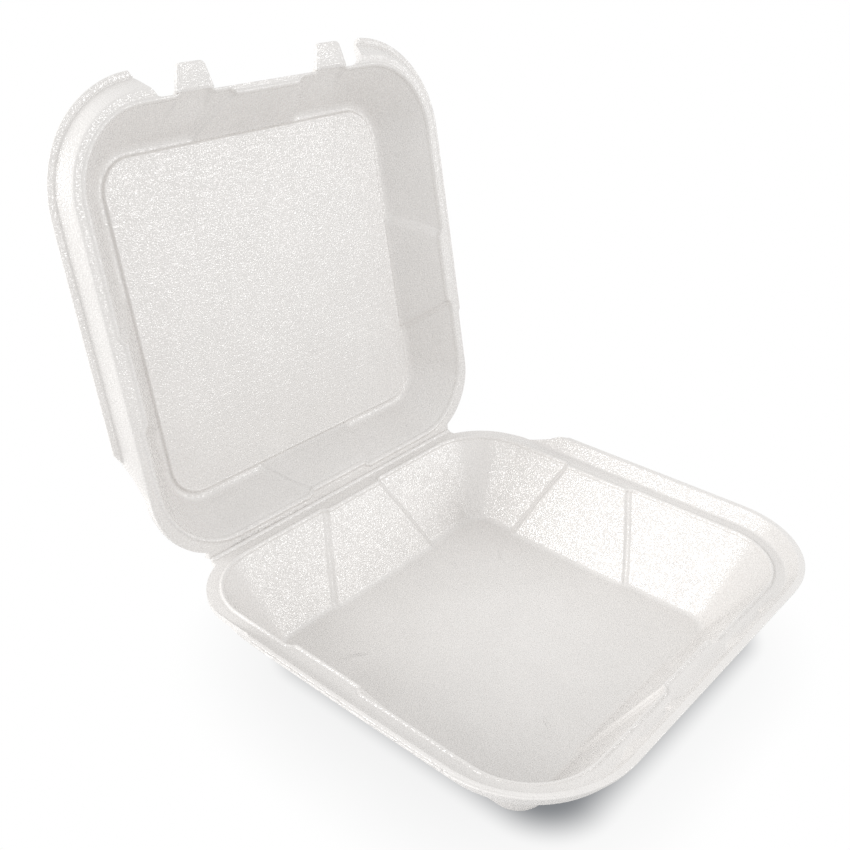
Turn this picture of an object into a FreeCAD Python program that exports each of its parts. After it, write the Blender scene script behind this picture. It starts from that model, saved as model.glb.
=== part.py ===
import FreeCAD, Part
import math
import os

# A foam clamshell container: one sheet of expanded foam, thermoformed into a square tray and a lid
# that share a pressed crease at the back. The tray stands on z = 0 with its front towards -Y, and
# the lid is laid out closed and then swung open about the crease. Millimetres throughout.

V = FreeCAD.Vector

# The foam sheet
SHEET = 2.5
LIP_SHEET = 2.2
FLOOR_ROUND = 1.4
CORNER_CHORDS = 14

# Tray: the inner floor, the bead that rounds over the top of the walls, and the depth between them
TRAY_DEPTH = 37.3
TRAY_FLOOR_X = 71.0
TRAY_FLOOR_FRONT = 66.4
TRAY_FLOOR_BACK = 69.6
TRAY_FLOOR_RADIUS = 9.4
TRAY_BEAD_X = 94.0
TRAY_BEAD_FRONT = 90.6
TRAY_BEAD_BACK = 91.2
TRAY_BEAD_RADIUS = 31.0

# Lid: the same sizes, with the depth measured from the lid's bead up to its panel
LID_DEPTH = 20.8
LID_PANEL_X = 75.6
LID_PANEL_FRONT = 72.0
LID_PANEL_BACK = 75.0
LID_PANEL_RADIUS = 14.6
LID_BEAD_X = 95.3
LID_BEAD_FRONT = 91.8
LID_BEAD_BACK = 92.2
LID_BEAD_RADIUS = 34.0
LID_LEDGE = 3.4
LID_STEP = 1.2
NEST_GAP = 0.5

# Rim section, outwards from the bead: a bead, a flat ledge, a band that rises and a flat lip
BEAD_WIDTH = 2.8
BEAD_DROP = 2.4
LEDGE_DROP = 0.4
TRAY_BAND_START = 6.0
LID_BAND_START = 4.8
BAND_RUN = 4.2
LIP_RISE = 6.2
LID_LIP_RISE = 6.0
BAND_ROUND = 0.7
TRAY_LIP_END = 13.0
LID_LIP_END = 12.3
RIM_RADIUS_GAIN = 1.12
BACK_BAND_RADIUS = 22.0

# Wall sections: each wall has a middle panel set in from its ends, wider at its foot
STEP_WIDTH = 2.6
RIM_INSET = 2.3
TRAY_FOOT_INSET = 1.9
LID_FOOT_INSET = 2.4
SECTION_RIM = 17.0
TRAY_SECTION_FOOT = 32.5
LID_SECTION_FOOT = 27.6
SIDE_SECTION_Y = 11.5

# Closure: two tabs on the lid's front edge and the slots in the tray's rim that take them
TAB_X = 37.0
TAB_ROOT = 18.6
TAB_TIP = 13.4
TAB_REACH = 12.2
TAB_ROUND = 3.0
TAB_SHEET = 1.8
TAB_BUMP = 2.4
TAB_BUMP_HALF = 7.0
TAB_BUMP_STEP = 1.5
SLOT_CLEARANCE = 0.8
CLOSURE_HALF = 16.0
CLOSURE_JOG = 5.5
CLOSURE_INSET = 2.2

# Trimmed outline: the front edge of the lid between its ears, and the narrow flange at the back
LID_FRONT_TRIM = 0.9
EAR_ROOT = 54.0
EAR_LEAN = 0.7
NARROW_X = 100.2
NARROW_BACK = 96.0
NARROW_RADIUS = 34.0
WIDE_START = 59.0
WIDE_BEND_OUT = 2.2
WIDE_BEND = 48.5
WIDE_FULL = 37.5

# Crease: the fold line behind the rim, and the pressed ridge on each side of it
HINGE_OUT = 5.5
HINGE_HALF = 79.5
HINGE_GAP = 0.4
CREASE_WIDTH = 1.6
CREASE_SLACK = 0.15
OPEN_ANGLE = 100.9

RIM_Z = TRAY_DEPTH + SHEET
HINGE_Y = TRAY_BEAD_BACK + HINGE_OUT
HINGE_Z = RIM_Z + NEST_GAP / 2
LID_RIM_Z = RIM_Z + NEST_GAP
LID_FOOT = LID_DEPTH + LID_STEP
BEYOND = 60.0


def mix(low, high, share):
    """The value that lies a share of the way from low to high."""
    return low + (high - low) * share


def step_points(half, inset):
    """The step at one end of a wall section, as (distance from its middle, inset) pairs."""
    return [(half + STEP_WIDTH, 0.0), (half, inset)]


def ring(z, plan, front_points, plain_points):
    """One closed outline at height z: a rounded rectangle whose sides carry the wall sections.

    plan is (x, front, back, front radius, back radius). The points of a side are given for one
    half of it, from the corner to the middle, and are mirrored about the middle.
    """
    x, front, back, front_radius, back_radius = plan
    sides = [
        (V(x, -front, z), V(-1, 0, 0), V(0, 1, 0), x, front_points, front_radius, front_radius),
        (V(-x, -front, z), V(0, 1, 0), V(1, 0, 0), front + SIDE_SECTION_Y, plain_points, front_radius,
         back_radius),
        (V(-x, back, z), V(1, 0, 0), V(0, -1, 0), x, plain_points, back_radius, back_radius),
        (V(x, back, z), V(0, -1, 0), V(-1, 0, 0), back - SIDE_SECTION_Y, plain_points, back_radius,
         front_radius),
    ]
    loop = []
    for index, (corner, along, inward, middle, points, start, end) in enumerate(sides):
        following, turn = sides[(index + 1) % 4][:2]
        loop.append(corner + along * start)
        loop += [corner + along * (middle - s) + inward * i for s, i in points]
        loop += [corner + along * (middle + s) + inward * i for s, i in reversed(points)]
        # The corner that leads to the next side, in equal chords
        hub = following + (turn - along) * end
        for n in range(CORNER_CHORDS):
            angle = math.pi / 2 * n / CORNER_CHORDS
            loop.append(hub + along * (end * math.sin(angle)) - turn * (end * math.cos(angle)))
    return loop


def patch(corners):
    """The face between four points, or two triangles where they don't lie in one plane."""
    a, b, c, d = corners
    normal = (b - a).cross(d - a) + (c - b).cross(a - b)
    if abs((c - a).dot(normal.normalize())) < 1e-7:
        return [Part.Face(Part.makePolygon([a, b, c, d, a]))]
    return [Part.Face(Part.makePolygon([a, b, c, a])), Part.Face(Part.makePolygon([a, c, d, a]))]


def skin(rings):
    """A closed sheet body: flat faces from ring to ring, capped at the first and the last one."""
    faces = [Part.Face(Part.makePolygon(cap + cap[:1])) for cap in (rings[0], rings[-1])]
    for lower, upper in zip(rings, rings[1:]):
        following = list(zip(lower[1:] + lower[:1], upper[1:] + upper[:1]))
        for low, high, (next_low, next_high) in zip(lower, upper, following):
            faces += patch((low, next_low, next_high, high))
    shell = Part.makeShell(faces)
    shell.sewShape()
    body = Part.makeSolid(shell)
    if body.Volume < 0:
        body.reverse()
    return body


def shifted(start, end, distance):
    """The line through two points of a section, moved sideways to its right by a distance."""
    dx, dy = end[0] - start[0], end[1] - start[1]
    length = math.hypot(dx, dy)
    point = (start[0] + dy / length * distance, start[1] - dx / length * distance)
    return point, (dx / length, dy / length)


def crossing(first, second):
    """The point where two lines of a section meet."""
    (px, py), (ux, uy) = first
    (qx, qy), (vx, vy) = second
    t = ((qx - px) * vy - (qy - py) * vx) / (ux * vy - uy * vx)
    return px + ux * t, py + uy * t


def rim_section(slope, way, band_start, rise, lip_end):
    """The rim's inner face and back, as (zone, out, height) points outwards from the bead.

    way is +1 in the tray, whose sheet lies under its inner face, and -1 in the lid, whose sheet
    lies over it. Zone bead follows the wall's section, foot the closure and top the lip.
    """
    drop, ledge = -way * BEAD_DROP, -way * LEDGE_DROP
    foot, top = (band_start, ledge), (band_start + BAND_RUN, rise)
    run = math.dist(foot, top)
    bend_x, bend_z = BAND_RUN / run * BAND_ROUND, (rise - ledge) / run * BAND_ROUND
    face = [
        ("bead", -slope * BEAD_DROP, drop),
        ("bead", -slope * BEAD_DROP * 0.45, drop * 0.36),
        ("bead", 0.0, drop * 0.07),
        ("bead", BEAD_WIDTH * 0.3, 0.0),
        ("bead", BEAD_WIDTH * 0.65, ledge * 0.25),
        ("bead", BEAD_WIDTH, ledge),
        ("foot", band_start - BAND_ROUND, ledge),
        ("foot", band_start + bend_x, ledge + bend_z),
        ("top", top[0] - bend_x, rise - bend_z),
        ("top", top[0], rise - bend_z * 0.3),
        ("top", top[0] + BAND_ROUND, rise),
        ("top", lip_end, rise),
    ]
    wall_back = shifted((-slope * BEAD_DROP, drop), (0.0, 0.0), way * SHEET)
    ledge_back = shifted((0.0, ledge), (band_start, ledge), way * SHEET)
    band_back = shifted(foot, top, way * (SHEET + LIP_SHEET) / 2)
    lip_back = shifted(top, (lip_end, rise), way * LIP_SHEET)
    back = [
        ("top", lip_end, lip_back[0][1]),
        ("top",) + crossing(band_back, lip_back),
        ("foot",) + crossing(band_back, ledge_back),
        ("bead",) + crossing(wall_back, ledge_back),
    ]
    return face, back


def rim_rings(points, base_z, bead, marks):
    """The rings of a rim section. marks gives the front's own points for a zone."""
    rings = []
    for zone, out, height in points:
        x, front, back, radius = bead
        front_radius = radius + out * RIM_RADIUS_GAIN
        back_radius = front_radius if zone == "bead" else BACK_BAND_RADIUS + max(out - BEAD_WIDTH, 0.0)
        plan = (x + out, front + out, back + out, front_radius, back_radius)
        inset = RIM_INSET if zone == "bead" else 0.0
        rings.append(ring(base_z + height, plan, marks(zone), step_points(SECTION_RIM, inset)))
    return rings


def wall_ring(z, share, ends, out, foot_half, foot_inset, marks):
    """A ring on a wall, where share is 0 at its foot and 1 at its bead, and out is outwards.

    ends are (x, front, back, radius) of the foot and of the bead, and marks is how many points
    the front has beside each of its section's steps, or the points themselves.
    """
    x, front, back, radius = [mix(a, b, share) + out for a, b in zip(*ends)]
    half = mix(foot_half, SECTION_RIM, share)
    points = step_points(half, mix(foot_inset, RIM_INSET, share))
    if isinstance(marks, int):
        start, edge = x - radius, half + STEP_WIDTH
        marks = [(mix(start, edge, (n + 1) / (marks + 1)), 0.0) for n in range(marks)]
    return ring(z, (x, front, back, radius, radius), marks + points, points)


def closure_marks(zone):
    """The tray's front: the band steps in along the stretches that hold the slots."""
    inset = CLOSURE_INSET if zone == "foot" else 0.0
    far, near = TAB_X + CLOSURE_HALF, TAB_X - CLOSURE_HALF
    outer = [(far + CLOSURE_JOG, 0.0), (far, inset), (near, inset)]
    if zone == "bead":
        return outer + step_points(SECTION_RIM, RIM_INSET)
    return outer + [(near - CLOSURE_JOG, 0.0), (near - CLOSURE_JOG - STEP_WIDTH, 0.0)]


def tab_marks(zone):
    """The lid's front: the bead bulges outwards under each tab."""
    bulge = 0.0 if zone in ("top", "flat") else -TAB_BUMP
    far, near = TAB_X + TAB_BUMP_HALF, TAB_X - TAB_BUMP_HALF
    outer = [(far + TAB_BUMP_STEP, 0.0), (far, bulge), (near, bulge), (near - TAB_BUMP_STEP, 0.0)]
    if zone == "flat":
        return outer
    return outer + step_points(SECTION_RIM, RIM_INSET if zone == "bead" else 0.0)


def make_tray_sheet():
    """The tray before trimming: up the inner walls, out over the rim and down the outer walls."""
    bead = (TRAY_BEAD_X, TRAY_BEAD_FRONT, TRAY_BEAD_BACK, TRAY_BEAD_RADIUS)
    ends = ((TRAY_FLOOR_X, TRAY_FLOOR_FRONT, TRAY_FLOOR_BACK, TRAY_FLOOR_RADIUS), bead)
    slope = (TRAY_BEAD_X - TRAY_FLOOR_X) / TRAY_DEPTH
    across = SHEET * math.hypot(1.0, slope)
    face, back = rim_section(slope, 1, TRAY_BAND_START, LIP_RISE, TRAY_LIP_END)

    def wall(z, out, foot=False):
        share = 0.0 if foot else (z - SHEET) / TRAY_DEPTH
        return wall_ring(z, share, ends, out, TRAY_SECTION_FOOT, TRAY_FOOT_INSET, 3)

    rings = [wall(SHEET, -FLOOR_ROUND, True), wall(SHEET + FLOOR_ROUND * 0.3, -FLOOR_ROUND * 0.25, True)]
    rings.append(wall(SHEET + FLOOR_ROUND, 0.0))
    rings += rim_rings(face + back, RIM_Z, bead, closure_marks)
    rings += [wall(FLOOR_ROUND, across), wall(0.0, across - SHEET * slope - FLOOR_ROUND, True)]
    return skin(rings)


def make_lid_sheet():
    """The lid before trimming, laid closed over the tray: panel, step, walls, rim and back."""
    bead = (LID_BEAD_X, LID_BEAD_FRONT, LID_BEAD_BACK, LID_BEAD_RADIUS)
    panel = (LID_PANEL_X, LID_PANEL_FRONT, LID_PANEL_BACK, LID_PANEL_RADIUS)
    foot = tuple(size + LID_LEDGE for size in panel)
    slope = (LID_BEAD_X - foot[0]) / LID_FOOT
    across = SHEET * math.hypot(1.0, slope)
    face, back = rim_section(slope, -1, LID_BAND_START, LID_LIP_RISE, LID_LIP_END)

    def flat(height, out):
        z = LID_RIM_Z + height
        return wall_ring(z, 0.0, (panel, bead), out, LID_SECTION_FOOT, 0.0, 4)

    def wall(height, out, marks=4):
        share = 1.0 - height / LID_FOOT
        z = LID_RIM_Z + height
        return wall_ring(z, share, (foot, bead), out, LID_SECTION_FOOT, LID_FOOT_INSET, marks)

    half_way = LID_FOOT / 2
    rings = [flat(LID_DEPTH, -LID_STEP), flat(LID_DEPTH + LID_STEP * 0.15, 0.0)]
    rings += [flat(LID_FOOT, LID_STEP * 0.5), wall(LID_FOOT, 0.0)]
    rings.append(wall(half_way, 0.0, tab_marks("flat")))
    rings += rim_rings(face + back, LID_RIM_Z, bead, tab_marks)
    rings.append(wall(half_way, across, tab_marks("flat")))
    rings += [wall(LID_FOOT + SHEET - FLOOR_ROUND, across), flat(LID_FOOT + SHEET, LID_LEDGE - FLOOR_ROUND)]
    rings += [flat(LID_FOOT + SHEET, -LID_STEP), flat(LID_DEPTH + SHEET, -LID_STEP - SHEET)]
    return skin(rings)


def prism(points, low, high):
    """An upright prism over a plan outline, whose third value, if any, bows the edge to a point."""
    edges = []
    for (start, middle), (end, _) in zip(points, points[1:] + points[:1]):
        a, b = V(start[0], start[1], low), V(end[0], end[1], low)
        if middle:
            edges.append(Part.Arc(a, V(middle[0], middle[1], low), b).toShape())
        else:
            edges.append(Part.makeLine(a, b))
    return Part.Face(Part.Wire(edges)).extrude(V(0, 0, high - low))


def mirrored(shape):
    """A shape and its mirror image in x = 0."""
    return [shape, shape.mirror(V(0, 0, 0), V(1, 0, 0))]


def back_waste():
    """What the die trims away behind: all beyond the crease and the narrow flange's outline."""
    edge_y = HINGE_Y - HINGE_GAP / 2
    hub_x, hub_y = NARROW_X - NARROW_RADIUS, NARROW_BACK - NARROW_RADIUS
    bow = HINGE_HALF - hub_x
    arc_start = (HINGE_HALF, hub_y + math.sqrt(NARROW_RADIUS ** 2 - bow ** 2))
    turn = (math.asin(bow / NARROW_RADIUS) + math.pi / 2) / 2
    arc_middle = (hub_x + NARROW_RADIUS * math.sin(turn), hub_y + NARROW_RADIUS * math.cos(turn))
    wide_x = TRAY_BEAD_X + TRAY_LIP_END
    bend_x = NARROW_X + WIDE_BEND_OUT
    lean = (WIDE_BEND - WIDE_FULL) / (wide_x - bend_x)
    side_x = wide_x + BEYOND / 4
    side = [
        ((-BEYOND / 4, edge_y), None),
        ((HINGE_HALF, edge_y), None),
        (arc_start, arc_middle),
        ((NARROW_X, hub_y), None),
        ((NARROW_X, WIDE_START), None),
        ((bend_x, WIDE_BEND), None),
        ((side_x, WIDE_FULL - lean * (side_x - wide_x)), None),
        ((side_x, edge_y + BEYOND), None),
        ((-BEYOND / 4, edge_y + BEYOND), None),
    ]
    return mirrored(prism(side, -BEYOND, BEYOND * 2))


def front_waste():
    """What the die trims from the lid's front edge, between its ears and outside its tabs."""
    edge = LID_BEAD_FRONT + LID_FRONT_TRIM
    bump = edge + TAB_BUMP
    far, near = TAB_X + TAB_BUMP_HALF, TAB_X - TAB_BUMP_HALF
    half = [
        ((0.0, -edge), None),
        ((near - TAB_BUMP_STEP, -edge), None),
        ((near, -bump), None),
        ((far, -bump), None),
        ((far + TAB_BUMP_STEP, -edge), None),
        ((EAR_ROOT, -edge), None),
        ((EAR_ROOT + EAR_LEAN * BEYOND, -edge - BEYOND), None),
        ((0.0, -edge - BEYOND), None),
    ]
    return mirrored(prism(half, -BEYOND, BEYOND * 2))


def tab_plate():
    """One tab: a flat tongue with a rounded tip, level with the lid's bead."""
    root, tip = -LID_BEAD_FRONT - 0.3 * LID_FRONT_TRIM, -LID_BEAD_FRONT - TAB_REACH
    bulge = root - TAB_BUMP
    far, near = TAB_BUMP_HALF, -TAB_BUMP_HALF
    outline = [
        ((TAB_X - TAB_ROOT / 2, root), None),
        ((TAB_X + near - TAB_BUMP_STEP * 0.3, root), None),
        ((TAB_X + near, bulge), None),
        ((TAB_X + far, bulge), None),
        ((TAB_X + far + TAB_BUMP_STEP * 0.3, root), None),
        ((TAB_X + TAB_ROOT / 2, root), None),
        ((TAB_X + TAB_TIP / 2, tip), None),
        ((TAB_X - TAB_TIP / 2, tip), None),
    ]
    plate = prism(outline, LID_RIM_Z, LID_RIM_Z + TAB_SHEET)
    corners = [edge for edge in plate.Edges
               if all(abs(vertex.Y - tip) < 0.01 for vertex in edge.Vertexes) and edge.BoundBox.ZLength > 1.0]
    return plate.makeFillet(TAB_ROUND, corners)


def slot_tool():
    """The slot in the tray's rim that one tab snaps into."""
    half = TAB_ROOT / 2 + SLOT_CLEARANCE
    start = TRAY_BEAD_FRONT + BEAD_WIDTH
    low = LID_RIM_Z - SLOT_CLEARANCE / 2
    height = TAB_SHEET + SLOT_CLEARANCE * 1.5
    return Part.makeBox(2 * half, BEYOND, height, V(TAB_X - half, -start - BEYOND, low))


def crease_ridge(ledge_z, crest_z):
    """The pressed ridge along the fold line, on the ledge at the back of the tray or the lid."""
    edge_y = HINGE_Y - HINGE_GAP / 2
    sunk = ledge_z + (ledge_z - crest_z)
    section = [
        V(-HINGE_HALF, edge_y - CREASE_WIDTH, sunk),
        V(-HINGE_HALF, edge_y - CREASE_WIDTH, ledge_z),
        V(-HINGE_HALF, edge_y - CREASE_WIDTH * 0.4, crest_z),
        V(-HINGE_HALF, edge_y, mix(crest_z, ledge_z, 0.4)),
        V(-HINGE_HALF, edge_y, sunk),
    ]
    return Part.Face(Part.makePolygon(section + section[:1])).extrude(V(2 * HINGE_HALF, 0, 0))


def make_tray():
    """The tray: trimmed behind, slotted in front, with its half of the crease."""
    body = make_tray_sheet().cut(back_waste() + mirrored(slot_tool()))
    return body.fuse(crease_ridge(RIM_Z - LEDGE_DROP, HINGE_Z - CREASE_SLACK)).removeSplitter()


def make_lid():
    """The lid: trimmed behind and in front, with its tabs, then opened about the crease."""
    body = make_lid_sheet().cut(back_waste() + front_waste())
    body = body.fuse(mirrored(tab_plate()) + [crease_ridge(LID_RIM_Z + LEDGE_DROP, HINGE_Z + CREASE_SLACK)])
    return body.removeSplitter()


def single(shape, name):
    """The one solid of a shape, with its volume printed."""
    print(name, "solids", len(shape.Solids), "valid", shape.isValid(), "cm3", round(shape.Volume / 1000, 1))
    return shape.Solids[0] if len(shape.Solids) == 1 else shape


tray = single(make_tray(), "tray")
lid = single(make_lid(), "lid")
lid.rotate(V(0, HINGE_Y, HINGE_Z), V(1, 0, 0), -OPEN_ANGLE)

os.makedirs("parts", exist_ok=True)
tray.exportStep("parts/tray.step")
lid.exportStep("parts/lid.step")
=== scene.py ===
"""Looks of the foam clamshell container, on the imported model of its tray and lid."""
import math

import bmesh
import bpy
import numpy as np
from mathutils import Matrix, Vector, noise


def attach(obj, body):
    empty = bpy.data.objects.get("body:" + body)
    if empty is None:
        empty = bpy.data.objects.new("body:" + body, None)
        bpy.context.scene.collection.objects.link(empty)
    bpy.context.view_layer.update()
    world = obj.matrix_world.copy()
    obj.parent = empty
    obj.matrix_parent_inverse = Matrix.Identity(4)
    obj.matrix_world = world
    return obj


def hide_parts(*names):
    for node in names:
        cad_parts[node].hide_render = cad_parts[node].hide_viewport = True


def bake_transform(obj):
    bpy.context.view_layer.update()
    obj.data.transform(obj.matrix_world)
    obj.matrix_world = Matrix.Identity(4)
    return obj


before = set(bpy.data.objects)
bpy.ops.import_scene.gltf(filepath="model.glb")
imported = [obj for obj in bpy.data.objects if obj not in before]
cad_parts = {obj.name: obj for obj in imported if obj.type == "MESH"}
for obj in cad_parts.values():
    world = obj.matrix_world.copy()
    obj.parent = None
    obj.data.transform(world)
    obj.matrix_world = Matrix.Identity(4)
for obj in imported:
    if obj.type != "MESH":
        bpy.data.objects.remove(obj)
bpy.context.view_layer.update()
bpy.context.scene.view_settings.view_transform = "Standard"


# Camera
# A lens and a place fitted to points of the open container, so that the
# render has the photograph's frame.
def make_camera():
    """Looks back along the direction of azimuth and elevation, and rolls a little about it."""
    azimuth, elevation, roll = math.radians(-48.7), math.radians(28.2), math.radians(0.4)
    place = Vector((-0.2899, -0.2106, 0.3007))
    picture_width, focal_pixels = 850.0, 1020.4
    flat = math.cos(elevation)
    back = Vector((math.sin(azimuth) * flat, -math.cos(azimuth) * flat, math.sin(elevation)))
    right = Vector((0, 0, 1)).cross(back).normalized()
    up = back.cross(right)
    turned_right = right * math.cos(roll) + up * math.sin(roll)
    turned_up = up * math.cos(roll) - right * math.sin(roll)
    data = bpy.data.cameras.new("camera")
    data.sensor_width = 36.0
    data.lens = focal_pixels * data.sensor_width / picture_width
    data.clip_start = 0.01
    camera = bpy.data.objects.new("camera", data)
    turn = Matrix((turned_right, turned_up, back)).transposed()
    camera.matrix_world = Matrix.Translation(place) @ turn.to_4x4()
    bpy.context.scene.collection.objects.link(camera)
    bpy.context.scene.camera = camera


make_camera()


# Foam
# Expanded polystyrene sheet, warm white: small closed cells under a thin skin
# that the hot mould leaves glossy over some cells and dull over others.
def add_node(nodes, kind, **values):
    """A new node of a kind, with the named inputs set; an underscore stands for a space."""
    node = nodes.new("ShaderNode" + kind)
    for name, value in values.items():
        node.inputs[name.replace("_", " ")].default_value = value
    return node


def add_ramp(nodes, low, low_colour, high, high_colour):
    """A colour ramp with one colour up to the low place and another from the high place on."""
    node = nodes.new("ShaderNodeValToRGB")
    first, last = node.color_ramp.elements
    first.position, first.color = low, low_colour
    last.position, last.color = high, high_colour
    return node


def make_foam():
    """Soft noise varies the white; each cell bumps the skin and has a gloss of its own."""
    cell_scale, grain_scale, cloud_scale = 1500.0, 700.0, 45.0
    darker, lighter = (0.795, 0.773, 0.752, 1), (0.825, 0.803, 0.782, 1)
    glossy, dull = 0.14, 0.6
    material = bpy.data.materials.new("foam")
    material.use_nodes = True
    nodes, links = material.node_tree.nodes, material.node_tree.links
    shader = nodes["Principled BSDF"]
    shader.inputs["Specular IOR Level"].default_value = 1.0
    shader.inputs["IOR"].default_value = 1.75
    place = add_node(nodes, "TexCoord")
    cells = add_node(nodes, "TexVoronoi", Scale=cell_scale)
    grain = add_node(nodes, "TexNoise", Scale=grain_scale, Detail=3.0)
    cloud = add_node(nodes, "TexNoise", Scale=cloud_scale, Detail=2.0)
    for texture in (cells, grain, cloud):
        links.new(place.outputs["Object"], texture.inputs["Vector"])
    fine = add_node(nodes, "Bump", Strength=0.35, Distance=0.0004)
    coarse = add_node(nodes, "Bump", Strength=0.15, Distance=0.0003)
    links.new(cells.outputs["Distance"], fine.inputs["Height"])
    links.new(grain.outputs["Fac"], coarse.inputs["Height"])
    links.new(coarse.outputs["Normal"], fine.inputs["Normal"])
    links.new(fine.outputs["Normal"], shader.inputs["Normal"])
    gloss = add_node(nodes, "MapRange", From_Min=0.5, From_Max=0.62, To_Min=glossy, To_Max=dull)
    links.new(cells.outputs["Color"], gloss.inputs["Value"])
    links.new(gloss.outputs["Result"], shader.inputs["Roughness"])
    tint = add_ramp(nodes, 0.3, darker, 0.7, lighter)
    links.new(cloud.outputs["Fac"], tint.inputs["Fac"])
    links.new(tint.outputs["Color"], shader.inputs["Base Color"])
    return material


foam = make_foam()


# Formed sheet
# Tray and lid are pressed from one sheet between two moulds, so each is a thin
# closed shell of rounded rectangles, one above another, with softened edges.
sheet = 2.5


def add_piece(name, points, faces):
    """A mesh from points in metres and faces, on an object at the origin."""
    mesh = bpy.data.meshes.new(name)
    mesh.from_pydata(points, [], faces)
    piece = bpy.data.objects.new(name, mesh)
    bpy.context.scene.collection.objects.link(piece)
    return piece


def face_outwards(piece):
    """Turns the faces of a closed mesh outwards."""
    work = bmesh.new()
    work.from_mesh(piece.data)
    bmesh.ops.recalc_face_normals(work, faces=work.faces)
    work.to_mesh(piece.data)
    work.free()


def apply_modifiers(piece):
    """The evaluated mesh takes the place of the piece's own, and its modifiers go."""
    depsgraph = bpy.context.evaluated_depsgraph_get()
    mesh = bpy.data.meshes.new_from_object(piece.evaluated_get(depsgraph))
    piece.modifiers.clear()
    piece.data = mesh


def tube_faces(rows, count):
    """Quads between neighbouring closed rows of points, and a cap on the first and last row."""
    lower = np.arange((rows - 1) * count).reshape(-1, count)
    beside = np.roll(lower, -1, axis=1)
    quads = np.stack([lower, beside, beside + count, lower + count], axis=-1).reshape(-1, 4)
    last = (rows - 1) * count
    return quads.tolist() + [list(range(count - 1, -1, -1)), list(range(last, last + count))]


def cage_object(name, rings, levels=2):
    """A closed cage through rings of millimetre points, smoothed by subdivision."""
    points = np.vstack(rings) / 1000.0
    piece = add_piece(name, points.tolist(), tube_faces(len(rings), len(rings[0])))
    modifier = piece.modifiers.new("smooth", "SUBSURF")
    modifier.levels = levels
    modifier.render_levels = levels
    apply_modifiers(piece)
    face_outwards(piece)
    return piece


def ring(z, plan, front_points, plain_points):
    """A rounded rectangle at a height; (along, inward) points mark each half side, mirrored."""
    corner_chords, side_middle = 14, 11.5
    x, front, back, front_radius, back_radius = plan
    sides = [
        ((x, -front), (-1, 0), (0, 1), x, front_points, front_radius, front_radius),
        ((-x, -front), (0, 1), (1, 0), front + side_middle, plain_points, front_radius, back_radius),
        ((-x, back), (1, 0), (0, -1), x, plain_points, back_radius, back_radius),
        ((x, back), (0, -1), (-1, 0), back - side_middle, plain_points, back_radius, front_radius),
    ]
    angle = (np.pi / 2 * np.arange(corner_chords) / corner_chords)[:, None]
    loop = []
    for index, (corner, along, inward, middle, marks, start, end) in enumerate(sides):
        corner, along, inward = np.array(corner), np.array(along), np.array(inward)
        following, turn = np.array(sides[(index + 1) % 4][0]), np.array(sides[(index + 1) % 4][1])
        distance, inset = np.array(marks).T[:, :, None]
        before = corner + along * (middle - distance) + inward * inset
        beyond = corner + along * (middle + distance) + inward * inset
        hub = following + (turn - along) * end
        arc = hub + along * (end * np.sin(angle)) - turn * (end * np.cos(angle))
        loop += [[corner + along * start], before, beyond[::-1], arc]
    loop = np.vstack(loop)
    return np.column_stack([loop, np.full(len(loop), z)])


# Wall sections
# The middle of each wall stands in a little, to stiffen it; a groove, a low
# rib and a steep riser end it, in a line that runs obliquely up the wall.
section_half, section_inset = 17.0, 2.3


def step(half, inset):
    """The end of a section: distances beyond its half length, and shares of its inset."""
    profile = [(3.5, 0.0), (2.9, -0.12), (2.3, 0.2), (1.5, 0.33), (0.8, 0.38), (0.15, 1.0), (-0.35, 1.0)]
    return [(half + out, inset * share) for out, share in profile]


def spread(start, end, count):
    """Points with no inset, evenly spaced between two distances from a side's middle."""
    return [(start + (end - start) * (n + 1) / (count + 1), 0.0) for n in range(count)]


def level(distances, inset=0.0):
    """Points at the given distances from a side's middle, all with the same inset."""
    return [(distance, inset) for distance in distances]


def plain_side(zone):
    """A side of the rim with no closure: the section's step runs out at the bead."""
    return step(section_half, section_inset if zone == "bead" else 0.0)


def wall_plan(share, ends, out):
    """The plan of a wall's ring, where share is 0 at its foot and 1 at its bead."""
    smallest_radius = 3.0
    x, front, back, radius = [a + (b - a) * share + out for a, b in zip(*ends)]
    radius = max(radius, smallest_radius)
    return x, front, back, radius, radius


# Rim
# Both halves have the same rim, so that lip lies on lip when the box is shut:
# a bead, a flat ledge, a band that rises and a flat lip with a cut edge.
def rim_points(way, slope, band, rise, lip):
    """(zone, out, height) of the face and then of the back; way is -1 where the sheet lies above."""
    ledge = -0.4 * way
    top = band + 4.2
    groove = 0.3 if way < 0 else 0.0
    face = [
        ("bead", -slope * 2.5, -2.5 * way),
        ("bead", -slope * 1.7 + 0.25, -1.7 * way),
        ("bead", -slope - 0.3, -1.0 * way),
        ("bead", -0.3, -0.1 * way),
        ("bead", 0.2, 0.15 * way),
        ("bead", 0.8, 0.08 * way),
        ("bead", 1.4, -0.7 * way),
        ("bead", 2.4, ledge),
        ("foot", band - 0.9, ledge),
        ("foot", band, ledge + 0.15),
        ("foot", band + 0.7, ledge + 1.0),
        ("top", top - 0.5, rise - 0.9),
        ("top", top - 0.05, rise - 0.1 + groove),
        ("top", top + 0.3, rise + groove),
        ("top", top + 0.8, rise),
        ("top", lip - 1.6, rise),
        ("top", lip - 1.1, rise - 0.15 * way),
        ("top", lip - 0.6, rise + 0.05 * way),
        ("top", lip - 0.1, rise - 0.05 * way),
    ]
    thick = 2.4 if way > 0 else 2.0
    under = rise - thick * way
    back = [
        ("top", lip, rise - 0.45 * way),
        ("top", lip - 0.4, rise - 1.2 * way),
        ("top", lip - 0.8, under + 0.3 * way),
        ("top", lip - 1.4, under),
        ("top", top + way * 0.9 + 0.4, under),
        ("foot", band + way * 2.0, ledge - 2.1 * way),
        ("bead", band + way * 0.6 - 0.8, ledge - 2.4 * way),
        ("bead", 2.2 + way * 1.2, ledge - 2.5 * way),
    ]
    return face + back


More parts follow.
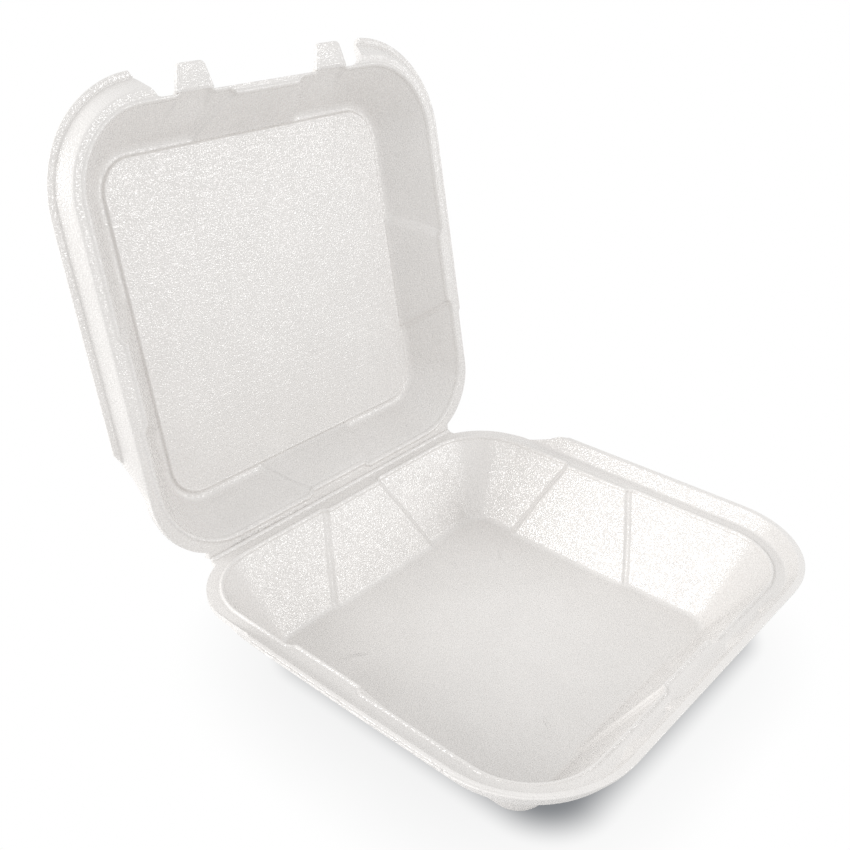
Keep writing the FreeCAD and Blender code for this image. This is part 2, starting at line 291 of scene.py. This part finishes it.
def rim_rings(points, base, bead, front_side, sag=0.0):
    """One ring for each point of the rim's section; the left lip sags as a parabola lengthwise."""
    corner_growth, back_radius, ledge_out = 1.12, 22.0, 2.8
    sag_middle, sag_reach, left_lip = 8.0, 72.0, -98.0
    x, front, back, radius = bead
    rings = []
    for zone, out, height in points:
        front_corner = radius + out * corner_growth
        back_corner = front_corner if zone == "bead" else back_radius + max(out - ledge_out, 0.0)
        plan = (x + out, front + out, back + out, front_corner, back_corner)
        loop = ring(base + height, plan, front_side(zone), plain_side(zone))
        if zone == "top":
            droop = np.maximum(0.0, 1.0 - ((loop[:, 1] - sag_middle) / sag_reach) ** 2)
            loop[:, 2] -= sag * droop * (loop[:, 0] < left_lip)
        rings.append(loop)
    return rings


# Trimming
# A die cuts the formed sheet free: along an S-shaped slant to a narrow flange
# at the back, round the slots and tabs in front. Handling dents the lips.
def prism(name, outline, low, high):
    """A closed upright block over a plan outline, in millimetres."""
    count = len(outline)
    points = [(x / 1000, y / 1000, z / 1000) for z in (low, high) for x, y in outline]
    faces = [tuple(range(count - 1, -1, -1)), tuple(range(count, 2 * count))]
    faces += [(n, (n + 1) % count, count + (n + 1) % count, count + n) for n in range(count)]
    piece = add_piece(name, points, faces)
    face_outwards(piece)
    return piece


def combine(piece, tools, operation):
    """Cuts the tools from the piece, or joins them to it, and removes them."""
    for tool in tools:
        modifier = piece.modifiers.new("tool", "BOOLEAN")
        modifier.operation = operation
        modifier.solver = "EXACT"
        modifier.object = tool
        apply_modifiers(piece)
        bpy.data.objects.remove(tool)


def trim(piece, outline):
    """Cuts away all that stands over an outline, on the right and on the left."""
    sides = [outline, [(-x, y) for x, y in outline]]
    combine(piece, [prism("waste", side, -20, 120) for side in sides], "DIFFERENCE")


def back_outline():
    """The plan of what is trimmed away behind the crease and outside the narrow flange."""
    edge, crease_end, hub_x, hub_y, radius = 96.5, 79.5, 66.2, 62.0, 34.0
    first = math.acos((crease_end - hub_x) / radius)
    angles = np.linspace(first, 0.0, 12)
    arc = [(hub_x + radius * math.cos(a), hub_y + radius * math.sin(a)) for a in angles]
    slant = [(100.2, 59.0), (100.9, 55.5), (102.4, 48.5), (104.4, 42.0), (107.0, 37.5), (122.0, 20.0)]
    return [(-15.0, edge), (crease_end, edge)] + arc + slant + [(122.0, 160.0), (-15.0, 160.0)]


def crimp(piece, inside, pieces, amount):
    """Splits the long edges inside a region and dents their points by noise, as pressed foam has it."""
    shortest, shallowest = 0.0012, 0.35
    work = bmesh.new()
    work.from_mesh(piece.data)
    chosen = [e for e in work.edges if all(inside(v.co) for v in e.verts) and e.calc_length() > shortest]
    bmesh.ops.subdivide_edges(work, edges=chosen, cuts=pieces, use_grid_fill=True)
    for vertex in work.verts:
        if inside(vertex.co):
            dent = noise.noise(vertex.co * 700.0) * 0.6 + noise.noise(vertex.co * 1500.0) * 0.4
            vertex.co -= vertex.normal * amount * (shallowest + max(dent, -shallowest))
    work.to_mesh(piece.data)
    work.free()


def finish_piece(piece, body, node):
    """Foam on a smooth-shaded piece whose cut edges stay sharp; it rides on its body."""
    piece.data.materials.clear()
    piece.data.materials.append(foam)
    for polygon in piece.data.polygons:
        polygon.use_smooth = True
    piece.data.set_sharp_from_angle(angle=math.radians(42))
    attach(piece, body)
    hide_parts(node)


# Tray
# The lower half: a flat floor, four sloping walls with their middle sections,
# and the rim, where the band steps in behind a slot for each of the lid's tabs.
tab_x = 37.0


def make_tray():
    """Rings run from the floor's centre up the wall, out over the rim and down the outside."""
    depth, base = 37.3, 39.8
    bead = (94.0, 90.6, 91.2, 31.0)
    ends = ((71.0, 66.4, 69.6, 9.4), bead)
    foot_half, foot_inset = 32.5, 1.9
    slope = (bead[0] - ends[0][0]) / depth
    across = sheet * math.hypot(1.0, slope)

    def on_left_lip(point):
        return point.x < -0.1058 and -0.062 < point.y < 0.040 and point.z > 0.0442

    def front_side(zone):
        jog = 2.2 if zone == "foot" else 0.0
        outer = level([60.5, 58.5]) + level([53.0, 51.0, 23.0, 21.0], jog)
        if zone == "bead":
            return outer + step(section_half, section_inset)
        return outer + level([17.0, 16.0, 14.5, 13.0, 11.5, 10.0, 8.0])

    def wall(z, out, share=None, jog=1.0):
        share = (z - sheet) / depth if share is None else share
        half = foot_half + (section_half - foot_half) * share
        inset = (foot_inset + (section_inset - foot_inset) * share) * jog
        plan = wall_plan(share, ends, out)
        outer = spread(plan[0] - plan[3], half + 4.0, 6)
        return ring(z, plan, outer + step(half, inset), step(half, inset))

    # each ring has a height and a distance out from the wall's line; a share of 0 keeps
    # the floor's plan, and a jog of 0 leaves out the wall sections
    rings = [wall(sheet, -14.0, 0.0, 0.0), wall(sheet, -3.4, 0.0), wall(sheet, -1.7, 0.0)]
    rings += [wall(sheet + 0.3, -0.5, 0.0), wall(sheet + 1.2, 0.0), wall(sheet + 2.6, 0.0)]
    rings += [wall(14.0, 0.0), wall(26.0, 0.0)]
    rings += rim_rings(rim_points(1, slope, 6.0, 6.2, 13.0), base, bead, front_side, 0.9)
    rings += [wall(30.0, across), wall(16.0, across), wall(3.0, across), wall(1.2, across)]
    rings += [wall(0.25, across - 1.6, 0.0), wall(0.0, across - 3.2, 0.0), wall(0.0, across - 5.0, 0.0)]
    rings.append(wall(0.0, across - 14.0, 0.0, 0.0))
    piece = cage_object("tray_sheet", rings)
    trim(piece, back_outline())
    slots = []
    slot_half, slot_back, slot_front = 10.1, -93.4, -120
    for x in (tab_x, -tab_x):
        low, high = x - slot_half, x + slot_half
        outline = [(low, slot_back), (low, slot_front), (high, slot_front), (high, slot_back)]
        slots.append(prism("slot", outline, base + 0.1, base + 3.1))
    combine(piece, slots, "DIFFERENCE")
    crimp(piece, on_left_lip, 8, 0.0005)
    return piece


finish_piece(make_tray(), "tray", "tray")


# Lid
# The upper half, shallower, with a raised panel and a ledge round it. Its front
# edge is cut straight between two ears, and two flat tabs stand out of it.
def front_outline():
    """The plan of what is trimmed away in front: straight between the ears, stepped round the tabs."""
    edge, bulged = -92.7, -95.1
    tab = [(28.4, edge), (30.0, bulged), (44.0, bulged), (45.6, edge)]
    ear = [(53.0, edge), (54.5, edge - 0.6), (62.0, -104.0), (70.0, -116.0)]
    return [(0.0, edge)] + tab + ear + [(0.0, -116.0)]


def make_tab(side, base):
    """One flat tab: a tongue with rounded corners and softened edges, level with the bead."""
    tip, root, reach, corner, thick = 6.7, 9.3, -104.0, 2.6, 1.9
    hub_x, hub_y = tab_x + tip - 2.2, reach + corner
    turns = np.linspace(0.1, math.pi / 2, 7)
    right = [(tab_x + root, -93.0), (tab_x + tip + 0.6, reach + 2.8)]
    right += [(hub_x + corner * math.cos(a), hub_y - corner * math.sin(a)) for a in turns]
    left = [(2 * tab_x - x, y) for x, y in reversed(right)]
    piece = prism("tab", [(side * x, y) for x, y in right + left], base, base + thick)
    modifier = piece.modifiers.new("edge", "BEVEL")
    modifier.width = 0.0004
    modifier.segments = 2
    modifier.limit_method = "ANGLE"
    modifier.angle_limit = math.radians(50)
    apply_modifiers(piece)
    return piece


def make_lid():
    """Rings run from the panel's centre down the wall, out over the rim and back up outside."""
    depth, base, ledge, rise = 20.8, 40.3, 3.4, 1.2
    bead = (95.3, 91.8, 92.2, 34.0)
    panel = (75.6, 72.0, 75.0, 14.6)
    foot = tuple(size + ledge for size in panel)
    foot_half, foot_inset = 27.6, 2.4
    tall = depth + rise
    slope = (bead[0] - foot[0]) / tall
    across = sheet * math.hypot(1.0, slope)
    hinge, opened = Vector((0, 0.0967, 0.04005)), 100.9

    def on_rear_bead(point):
        return point.y > 0.0915 and -0.066 < point.x < -0.022 and point.z < 0.0412

    def bulge(share):
        outer = level([44.0, 42.6, 31.4, 30.0], -2.4 * share)
        return level([47.5, 46.0]) + outer + level([28.0, 26.0])

    def front_side(zone):
        return bulge(0.0 if zone == "top" else 1.0) + plain_side(zone)

    def wall(height, out, flat=False, share=0.0):
        down = 0.0 if flat else 1.0 - height / tall
        half = foot_half + (section_half - foot_half) * down
        inset = 0.0 if flat else foot_inset + (section_inset - foot_inset) * down
        plan = wall_plan(down, (panel if flat else foot, bead), out)
        marks = bulge(share) if share > 0.0 else spread(plan[0] - plan[3], half + 4.0, 8)
        return ring(base + height, plan, marks + step(half, inset), step(half, inset))

    # each ring has a height above the rim and a distance out; flat ones keep the panel's
    # plan, and a share carries the bulges under the tabs down the wall
    rings = [wall(depth, -16.0, True), wall(depth, -3.0, True), wall(depth, -1.1, True)]
    rings += [wall(depth - 0.15, -0.5, True), wall(depth + 0.1, 0.0, True)]
    rings += [wall(tall - 0.2, 0.35, True), wall(tall + 0.1, 0.9, True), wall(tall, -0.9)]
    rings += [wall(tall - 1.1, 0.0), wall(tall - 2.4, 0.0), wall(15.0, 0.0)]
    rings += [wall(10.0, 0.0, share=0.25), wall(6.5, 0.0, share=0.8)]
    rings += rim_rings(rim_points(-1, slope, 4.8, 6.0, 12.3), base, bead, front_side)
    rings += [wall(8.0, across, share=0.5), wall(13.0, across), wall(20.0, across)]
    rings += [wall(tall + 1.0, across), wall(tall + 2.2, across - 1.5)]
    rings += [wall(tall + 2.5, 2.0, True), wall(tall + 2.5, 0.4, True), wall(tall + 1.4, -1.4, True)]
    rings += [wall(tall + 1.3, -3.0, True), wall(tall + 1.3, -16.0, True)]
    piece = cage_object("lid_sheet", rings)
    trim(piece, back_outline())
    trim(piece, front_outline())
    combine(piece, [make_tab(side, base) for side in (1, -1)], "UNION")
    crimp(piece, on_rear_bead, 6, 0.0004)
    turn = Matrix.Translation(hinge) @ Matrix.Rotation(math.radians(-opened), 4, "X")
    piece.data.transform(turn @ Matrix.Translation(-hinge))
    return piece


finish_piece(make_lid(), "lid", "lid")


# Crease
# The fold that joins tray and lid, pressed thin into the same sheet: a soft,
# lightly rippled ridge.
def make_crease():
    """An ellipse carried along x, thinner at both ends, its long way from ledge to ledge."""
    ribs, around, half_length = 160, 12, 79.6
    centre_y, centre_z, half_wide, half_thick = 96.72, 39.85, 1.15, 0.75
    lean_y, lean_z = 0.62, 0.78
    x = np.linspace(-half_length, half_length, ribs)
    end = np.minimum(1.0, (half_length - np.abs(x)) / 1.2 + 0.25)
    wave = 0.12 * np.array([noise.noise(Vector((place * 0.35, 3.1, 0.0))) for place in x])
    angle = 2 * np.pi * np.arange(around) / around
    along = half_wide * np.cos(angle) * end[:, None]
    off = (half_thick + wave[:, None]) * np.sin(angle) * end[:, None]
    y = centre_y + along * lean_y - off * lean_z
    z = centre_z + along * lean_z + off * lean_y
    points = np.stack([np.broadcast_to(x[:, None], y.shape), y, z], axis=-1).reshape(-1, 3) / 1000
    piece = add_piece("crease", points.tolist(), tube_faces(ribs, around))
    piece.data.materials.append(foam)
    for polygon in piece.data.polygons:
        polygon.use_smooth = True
    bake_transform(piece)


make_crease()


# Stage
# A white floor with a painted shadow and painted shade round the tray, a white world,
# and two wide soft lamps: one behind on the left for the walls' sparkle, one in front on the right.
def painted_shadow_beside(nodes, links):
    """Painted shadow: deep grey next to the tray, by the distance from a rounded rectangle on the floor,
    as a ramp.
    """
    # colours of the painted shadow, deep grey at the tray fading to white
    shadow_grey, white = (0.26, 0.27, 0.285, 1), (1, 1, 1, 1)
    middle, half = (0.007, -0.0065, 0.0), (0.058, 0.056, 1.0)
    steps = (("SUBTRACT", middle), ("ABSOLUTE", None), ("SUBTRACT", half), ("MAXIMUM", (0.0, 0.0, 0.0)),
             ("LENGTH", None))
    vector = add_node(nodes, "TexCoord").outputs["Object"]
    for operation, value in steps:
        node = add_node(nodes, "VectorMath")
        node.operation = operation
        if value:
            node.inputs[1].default_value = value
        links.new(vector, node.inputs[0])
        vector = node.outputs["Value" if operation == "LENGTH" else "Vector"]
    reach = add_node(nodes, "MapRange", From_Min=0.012, From_Max=0.032)
    links.new(vector, reach.inputs["Value"])
    fade = add_ramp(nodes, 0.0, shadow_grey, 1.0, white)
    fade.color_ramp.interpolation = "EASE"
    links.new(reach.outputs["Result"], fade.inputs["Fac"])
    return fade.outputs["Color"]


def painted_shade_under(nodes, links):
    """Painted shade: a pale grey wherever something stands close above the floor, from ambient
    occlusion.
    """
    # colours of the painted shade, pale grey where occluded, white in the open
    shade_grey, white = (0.85, 0.85, 0.85, 1), (1, 1, 1, 1)
    contact = add_node(nodes, "AmbientOcclusion", Distance=0.05)
    contact.samples = 16
    tone = add_ramp(nodes, 0.0, shade_grey, 0.85, white)
    links.new(contact.outputs["AO"], tone.inputs["Fac"])
    return tone.outputs["Color"]


def make_floor():
    """Plain grey to every ray but the camera's, which sees white times the painted shade and the painted
    shadow.
    """
    side = 4
    corners = [(-side, -side, 0), (side, -side, 0), (side, side, 0), (-side, side, 0)]
    floor = add_piece("floor", corners, [(0, 1, 2, 3)])
    material = bpy.data.materials.new("floor")
    material.use_nodes = True
    nodes, links = material.node_tree.nodes, material.node_tree.links
    shader = nodes["Principled BSDF"]
    shader.inputs["Base Color"].default_value = (0.8, 0.8, 0.8, 1)
    shader.inputs["Roughness"].default_value = 0.9
    both = add_node(nodes, "Mix")
    both.data_type = "RGBA"
    both.blend_type = "MULTIPLY"
    both.inputs[0].default_value = 1.0
    # the camera's white floor is darkened by painted shade under the tray and a painted shadow beside it
    links.new(painted_shade_under(nodes, links), both.inputs[6])
    links.new(painted_shadow_beside(nodes, links), both.inputs[7])
    glow = add_node(nodes, "Emission")
    links.new(both.outputs[2], glow.inputs["Color"])
    path = add_node(nodes, "LightPath")
    choose = add_node(nodes, "MixShader")
    links.new(path.outputs["Is Camera Ray"], choose.inputs[0])
    links.new(shader.outputs[0], choose.inputs[1])
    links.new(glow.outputs[0], choose.inputs[2])
    links.new(choose.outputs[0], nodes["Material Output"].inputs["Surface"])
    floor.data.materials.append(material)


def make_world():
    """White to camera and glossy rays; what lights the object stays at a plain level."""
    seen_level, light_level = 1.0, 0.785
    world = bpy.data.worlds.new("world")
    world.use_nodes = True
    bpy.context.scene.world = world
    nodes, links = world.node_tree.nodes, world.node_tree.links
    background = nodes["Background"]
    background.inputs["Color"].default_value = (1, 1, 1, 1)
    path = add_node(nodes, "LightPath")
    seen = add_node(nodes, "Math")
    seen.operation = "MAXIMUM"
    links.new(path.outputs["Is Camera Ray"], seen.inputs[0])
    links.new(path.outputs["Is Glossy Ray"], seen.inputs[1])
    strength = add_node(nodes, "MapRange", To_Min=light_level, To_Max=seen_level)
    links.new(seen.outputs[0], strength.inputs["Value"])
    links.new(strength.outputs["Result"], background.inputs["Strength"])


def make_lamp(name, place, energy, size):
    """A square lamp that faces the middle of the open container."""
    target = Vector((0, 0.03, 0.08))
    lamp = bpy.data.lights.new(name, "AREA")
    lamp.energy = energy
    lamp.size = size
    light = bpy.data.objects.new(name, lamp)
    light.location = place
    light.rotation_euler = (target - light.location).to_track_quat("-Z", "Y").to_euler()
    bpy.context.scene.collection.objects.link(light)


make_floor()
make_world()
make_lamp("left_lamp", (-0.86, 0.38, 0.47), 4.8, 0.52)
make_lamp("right_lamp", (0.58, -0.80, 0.42), 2.0, 0.46)
